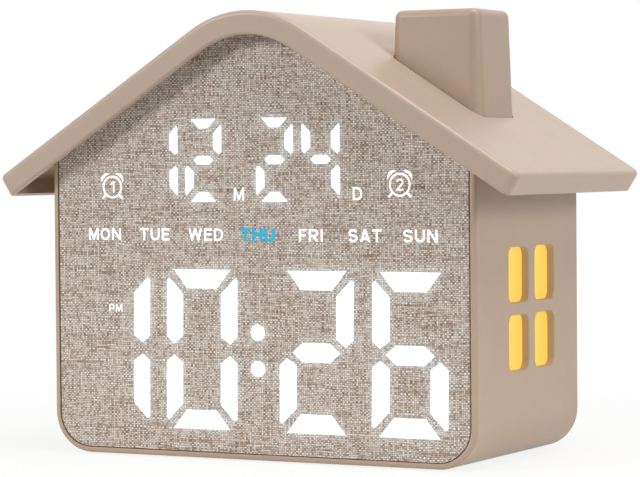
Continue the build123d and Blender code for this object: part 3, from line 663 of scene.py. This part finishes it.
def segment_outlines(digit, width, height, stroke, waist_rise, shares):
    """The lit segments of one digit, about its middle."""
    half, mid = width / 2, height / 2
    cut = {name: share * stroke for name, share in shares.items()}

    def upright(waist):
        return [
            (-half, mid - cut["shoulder"]),
            (-half + cut["nose_in"], mid - cut["nose"]),
            (-half + stroke, mid - cut["inner_top"]),
            (-half + stroke, waist + cut["inner_low"]),
            (-half + cut["tip_in"], waist + cut["tip"]),
            (-half, waist + cut["outer_low"]),
        ]

    end, mitre = half - cut["cap_end"], half - cut["cap_mitre"]
    cap = [(-end, mid), (end, mid), (mitre, mid - stroke), (-mitre, mid - stroke)]
    tip, shoulder = half - cut["bar_tip"], half - cut["bar_shoulder"]
    above, below = waist_rise + cut["bar_half"], waist_rise - cut["bar_half"]
    bar = [(-tip, waist_rise), (-shoulder, above), (shoulder, above)]
    bar += [(tip, waist_rise), (shoulder, below), (-shoulder, below)]
    placed = {
        "a": (cap, 1, 1),
        "b": (upright(waist_rise), -1, 1),
        "c": (upright(-waist_rise), -1, -1),
        "d": (cap, 1, -1),
        "e": (upright(-waist_rise), 1, -1),
        "f": (upright(waist_rise), 1, 1),
        "g": (bar, 1, 1),
    }
    for name in digit_segments[digit]:
        outline, side, rise = placed[name]
        yield [(side * x, rise * z) for x, z in outline]


def digit_outlines(digits, low, width, height, stroke, waist_rise, lean, shares):
    """The lit segments of a row of digits, in the plane of the front."""
    middle = underside + low + height / 2
    for digit, centre in digits.items():
        for outline in segment_outlines(digit, width, height, stroke, waist_rise, shares):
            yield [(centre + x + z * lean, middle + z) for x, z in outline]


def colon_outlines():
    """The two round dots between the hours and the minutes."""
    turns = [2 * math.pi * step / colon_sides for step in range(colon_sides)]
    for side in (-1, 1):
        middle = underside + big_low + big_height / 2 + side * colon_spread
        yield [
            (colon_place + colon_radius * math.cos(turn), middle + colon_radius * math.sin(turn))
            for turn in turns
        ]


big_sizes = (big_low, big_width, big_height, big_stroke, big_waist_rise, big_lean)
small_sizes = (small_low, small_width, small_height, small_stroke, small_waist_rise, small_lean)
clock_outlines = [*digit_outlines(big_digits, *big_sizes, big_shares)]
date_outlines = [
    *digit_outlines(month_digits, *small_sizes, small_shares),
    *digit_outlines(date_digits, *small_sizes, small_shares),
]


def lit_plates(name, outlines, corner=0.0):
    """Lit cloth within outlines, whose corners are rounded where a radius is given."""
    bm = bmesh.new()
    for outline in outlines:
        add_plate(bm, outline, lit_face)
    if corner:
        bmesh.ops.bevel(
            bm,
            geom=bm.verts[:],
            offset=corner,
            segments=lit_corner_steps,
            affect="VERTICES",
            profile=0.5,
            material=-1,
        )
    give_depth(bm, lit_depth)
    add_piece(name, bm, finishes["lamp"])


# Cloth front
def glow_edge(outline):
    """The line at which the light of a convex outline has died away."""
    points = [Vector(point) for point in outline]
    middle = sum(points, Vector((0, 0))) / len(points)
    outward = []
    for here, after in zip(points, points[1:] + points[:1]):
        out = (after - here).orthogonal().normalized()
        outward.append(out if out.dot(here - middle) > 0 else -out)
    for place, here in enumerate(points):
        before, after = outward[place - 1], outward[place]
        for step in range(glow_steps + 1):
            yield here + before.lerp(after, step / glow_steps).normalized() * glow_reach


def glow_share(point, outlines):
    """How much of the light of the nearest outline reaches a point of the cloth."""
    nearest = glow_reach
    for outline in outlines:
        for here, after in zip(outline, outline[1:] + outline[:1]):
            _, along = intersect_point_line(point, here, after)
            foot = Vector(here).lerp(Vector(after), min(max(along, 0.0), 1.0))
            nearest = min(nearest, (point - foot).length)
    return 1 - nearest / glow_reach


def front_faces(bm):
    """The faces of the cloth that look forwards."""
    return [face for face in bm.faces if face.normal.y < cloth_facing]


def rolled_skin():
    """The skin with its edge rolled over the panel, and a little slack towards the bottom."""
    bm = bmesh.new()
    bm.from_mesh(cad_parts["fabric_face"].data)
    bm.verts.layers.float.new(glow_layer)
    bmesh.ops.remove_doubles(bm, verts=bm.verts, dist=merge_distance)
    bmesh.ops.dissolve_limit(bm, angle_limit=flat_turn, verts=bm.verts, edges=bm.edges)
    rim = dict.fromkeys(edge for face in front_faces(bm) for edge in face.edges)
    bmesh.ops.bevel(
        bm,
        geom=[*rim],
        offset=cloth_edge_round,
        segments=cloth_edge_steps,
        affect="EDGES",
        profile=0.5,
        material=-1,
    )
    for vert in bm.verts:
        share = 1 - (vert.co.z - cloth_low.z) / cloth_sag_rise
        vert.co.z -= cloth_sag * max(share, 0.0)
    return bm


def light_front(bm, outlines):
    """Divides the cloth's front along the lit outlines and gives each point its share of their light."""
    front = max(front_faces(bm), key=lambda face: face.calc_area())
    level = front.verts[0].co.y
    edge_line = [vert.co.xz for vert in front.verts]
    loops = [edge_line, *outlines, *([*glow_edge(outline)] for outline in outlines)]
    points, edges = [], []
    for loop in loops:
        count, first = len(loop), len(points)
        points += [Vector(point) for point in loop]
        edges += [(first + place, first + (place + 1) % count) for place in range(count)]
    places, _, triangles, *_ = delaunay_2d_cdt(points, edges, [], fill_inside, merge_distance)
    bmesh.ops.delete(bm, geom=[front], context="FACES_ONLY")
    glow = bm.verts.layers.float[glow_layer]
    woven = [bm.verts.new((place.x, level, place.y)) for place in places]
    for vert, place in zip(woven, places):
        vert[glow] = glow_share(place, outlines)
    for triangle in triangles:
        bm.faces.new([woven[corner] for corner in triangle])
    bmesh.ops.remove_doubles(bm, verts=bm.verts, dist=merge_distance)
    bmesh.ops.triangulate(bm, faces=[face for face in bm.faces if len(face.verts) > 4])


def linen_front():
    """The linen skin, stretched on the panel behind it and lit round the digits."""
    bm = rolled_skin()
    light_front(bm, [*clock_outlines, *date_outlines, *colon_outlines()])
    cloth = add_piece("linen_front", bm, finishes["linen"])
    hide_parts("fabric_face")


# Lit legends
def legends():
    """The row of days, with today in its own colour, and the letters beside the digits."""
    days, current, letters = bmesh.new(), bmesh.new(), bmesh.new()
    for count, day in enumerate(day_names):
        centre = day_place + (count - (len(day_names) - 1) / 2) * day_pitch
        place = Vector((centre, lit_face, underside + day_level))
        if day == today:
            add_words(current, day, today_cap, place, stem=today_stem_share)
        else:
            add_words(days, day, day_cap, place)
    for words, (x, z, cap_height) in letter_marks.items():
        add_words(letters, words, cap_height, Vector((x, lit_face, underside + z)), stem=mark_stem_share)
    add_piece("lit_day_names", days, finishes["lamp"])
    add_piece("lit_today", current, today_finish)
    add_piece("lit_letters", letters, finishes["lamp"])


def add_bell(bm, centre, side):
    """The crescent that a round bell shows beyond the ring that it stands on."""
    inner = alarm_ring + bell_gap
    half = math.acos((inner**2 + bell_reach**2 - bell_radius**2) / (2 * inner * bell_reach))
    turns = [half * (2 * step / bell_steps - 1) for step in range(bell_steps + 1)]
    far = [
        bell_reach * math.cos(turn) + math.sqrt(bell_radius**2 - (bell_reach * math.sin(turn)) ** 2)
        for turn in turns[1:-1]
    ]
    rim = [*zip(turns, [inner] * len(turns)), *reversed([*zip(turns[1:-1], far)])]
    leans = [(bell_turn + turn, reach) for turn, reach in rim]
    places = [
        (centre.x + side * reach * math.sin(lean), centre.z + reach * math.cos(lean)) for lean, reach in leans
    ]
    add_plate(bm, places, lit_face)


def alarm_icons():
    """Small alarm clocks: a ring, two bells, two feet and the alarm's number."""
    bm = bmesh.new()
    for number, (x, z) in alarm_marks.items():
        centre = Vector((x, lit_face, underside + z))
        icon = bmesh.new()
        add_ring(icon, centre, alarm_ring - alarm_line, alarm_ring, alarm_ring_steps)
        for side in (-1, 1):
            add_bell(icon, centre, side)
            slant = Vector((side, 0, -1)).normalized()
            across = Vector((slant.z, 0, -slant.x)) * foot_line / 2
            ends = [centre + slant * reach for reach in (foot_from, foot_to)]
            foot = (ends[0] - across, ends[0] + across, ends[1] + across, ends[1] - across)
            add_plate(icon, [(point.x, point.z) for point in foot], lit_face)
        give_depth(icon, lit_depth)
        join_into(bm, icon)
        add_words(bm, number, alarm_number_cap, centre, stem=alarm_number_stem)
    add_piece("lit_alarm_marks", bm, finishes["lamp"])


# Rear printing
def add_ink_spot(bm, centre, inner):
    """A printed ring on the rear, or a full dot where its inner radius is nothing."""
    spot = bmesh.new()
    add_ring(spot, centre, inner, cap_mark_radius, cap_mark_steps)
    give_depth(spot, -print_depth)
    join_into(bm, spot)


def rear_printing():
    """Names of the keys and the inlet, and the marks of the battery cap's two places."""
    ink_face = cover_back + print_proud
    bm = bmesh.new()
    for key, words in key_labels.items():
        low, high = corners(key)
        place = Vector(((low.x + high.x) / 2, ink_face, high.z + key_label_rise))
        add_words(bm, words, key_label_cap, place, facing=1, thickness=print_depth)
    low, high = corners("usb_inlet")
    place = Vector(((low.x + high.x) / 2, ink_face, low.z - inlet_label_drop))
    add_words(bm, "5V", inlet_label_cap, place, facing=1, thickness=print_depth)
    middle = (cap_low + cap_high) / 2
    reach = (cap_high.x - cap_low.x) / 2 + cap_mark_gap
    for turn, inner in ((0.0, 0.0), (cap_open_turn, cap_mark_radius - cap_mark_line)):
        place = Vector((middle.x + reach * math.sin(turn), ink_face, middle.z + reach * math.cos(turn)))
        add_ink_spot(bm, place, inner)
    add_piece("rear_labels", bm, ink_finish)
    bm = bmesh.new()
    add_ink_spot(bm, Vector((middle.x, cap_high.y + print_proud, cap_high.z - cap_mark_gap)), 0.0)
    add_piece("cap_pointer", bm, ink_finish, body="battery_cap")


linen_front()
lit_plates("lit_clock_digits", clock_outlines, lit_corner)
lit_plates("lit_date_digits", date_outlines, lit_corner)
lit_plates("lit_colon", colon_outlines())
legends()
alarm_icons()
rear_printing()


# Studio
def studio_floor():
    """A pale table, which fades into the white background away from the clock."""
    bm = bmesh.new()
    bmesh.ops.create_grid(bm, x_segments=1, y_segments=1, size=floor_half)
    mesh = bpy.data.meshes.new("studio_floor")
    bm.to_mesh(mesh)
    bm.free()
    floor = bpy.data.objects.new("studio_floor", mesh)
    bpy.context.scene.collection.objects.link(floor)
    finish = new_finish("studio_floor_pale")
    point, _ = finish.place()
    paper = finish.mix(finish.noise(point, scale=30.0), tone(238, 237, 235), tone(244, 243, 241))
    matt = finish.node("ShaderNodeBsdfDiffuse", inputs={"Color": paper})
    lit = finish.node("ShaderNodeEmission", inputs={"Color": white, "Strength": 1.0})
    away = finish.node("ShaderNodeVectorMath", {"operation": "LENGTH"}, {0: point}, output="Value")
    white_share = finish.between(away, floor_near, floor_far, floor_near_white_share, floor_far_white_share)
    lit_share = finish.background_rays() * white_share
    finish.show(finish.node("ShaderNodeMixShader", inputs={0: lit_share, 1: matt, 2: lit}))
    mesh.materials.append(finish.owner)


def studio_world():
    """A white background that gives little light of its own."""
    world = bpy.data.worlds.new("studio")
    bpy.context.scene.world = world
    finish = Finish(world)
    strength = finish.background_rays().spread(world_strength, 1.0)
    light = finish.node("ShaderNodeBackground", inputs={"Color": white, "Strength": strength})
    finish.show(light, "ShaderNodeOutputWorld")


def soft_lamp(name, place, size, power, mirrored):
    """A round lamp that is turned to the clock."""
    lamp = bpy.data.lights.new(name, "AREA")
    lamp.shape, lamp.size, lamp.energy = "DISK", size, power
    held = bpy.data.objects.new(name, lamp)
    held.location, held.visible_glossy = place, mirrored
    held.rotation_euler = (camera_target - Vector(place)).to_track_quat("-Z", "Y").to_euler()
    bpy.context.scene.collection.objects.link(held)


def photo_camera():
    """The camera that took the photograph, with the shift of its frame."""
    lens = bpy.data.cameras.new("photo_camera")
    lens.sensor_width = sensor_width
    lens.lens = focal_pixels / image_width * sensor_width
    lens.shift_x = (image_width / 2 - principal_pixel[0]) / image_width
    lens.shift_y = (principal_pixel[1] - image_height / 2) / image_width
    level = math.cos(camera_rise)
    back = Vector(
        (math.sin(camera_turn) * level, -math.cos(camera_turn) * level, math.sin(camera_rise))
    )
    right = (-back).cross(Vector((0, 0, 1))).normalized()
    up = right.cross(-back)
    tilted_right = math.cos(camera_roll) * right + math.sin(camera_roll) * up
    tilted_up = math.cos(camera_roll) * up - math.sin(camera_roll) * right
    turn = Matrix((tilted_right, tilted_up, back)).transposed().to_4x4()
    camera = bpy.data.objects.new("photo_camera", lens)
    camera.matrix_world = Matrix.Translation(camera_target + back * camera_distance) @ turn
    bpy.context.scene.collection.objects.link(camera)
    bpy.context.scene.camera = camera


studio_floor()
studio_world()
for lamp_name, settings in lamps.items():
    soft_lamp(lamp_name, *settings)
photo_camera()
bpy.context.scene.view_settings.view_transform = "Standard"
